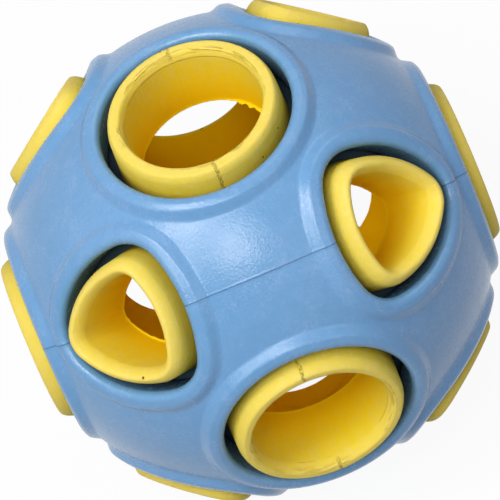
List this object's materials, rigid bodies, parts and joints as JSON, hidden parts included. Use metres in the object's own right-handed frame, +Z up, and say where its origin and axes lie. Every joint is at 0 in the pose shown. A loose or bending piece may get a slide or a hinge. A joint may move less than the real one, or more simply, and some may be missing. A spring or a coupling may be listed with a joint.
{
  "type": "chew ball",
  "caption": "Hollow rubber chew ball: a pierced outer shell sits loosely around an inner ball whose round and triangular spouts stand through its raised openings.",
  "frame": {"origin": "centre of the ball, where the axes of all its spouts cross", "axes": "+X, +Y and +Z run out through round spouts, and triangular spouts lie on the diagonals between them; +Z is up when the ball stands on the round rim at -Z"},
  "size_m": [0.0862, 0.0862, 0.0862],
  "materials": {
    "shell_rubber": "satin moulded rubber, sky blue",
    "ball_rubber": "satin moulded rubber, warm yellow"
  },
  "bodies": {
    "inner_ball": {"inner_ball_left_half": "ball_rubber", "inner_ball_right_half": "ball_rubber"},
    "outer_shell": {"outer_shell_upper_half": "shell_rubber", "outer_shell_lower_half": "shell_rubber"}
  },
  "joints": [
    {"name": "shell_twist", "type": "hinge", "parent": "inner_ball", "child": "outer_shell", "pos_m": [0, 0, 0], "axis": [0, 0, 1], "range_deg": [-2.3, 2.3]}
  ]
}
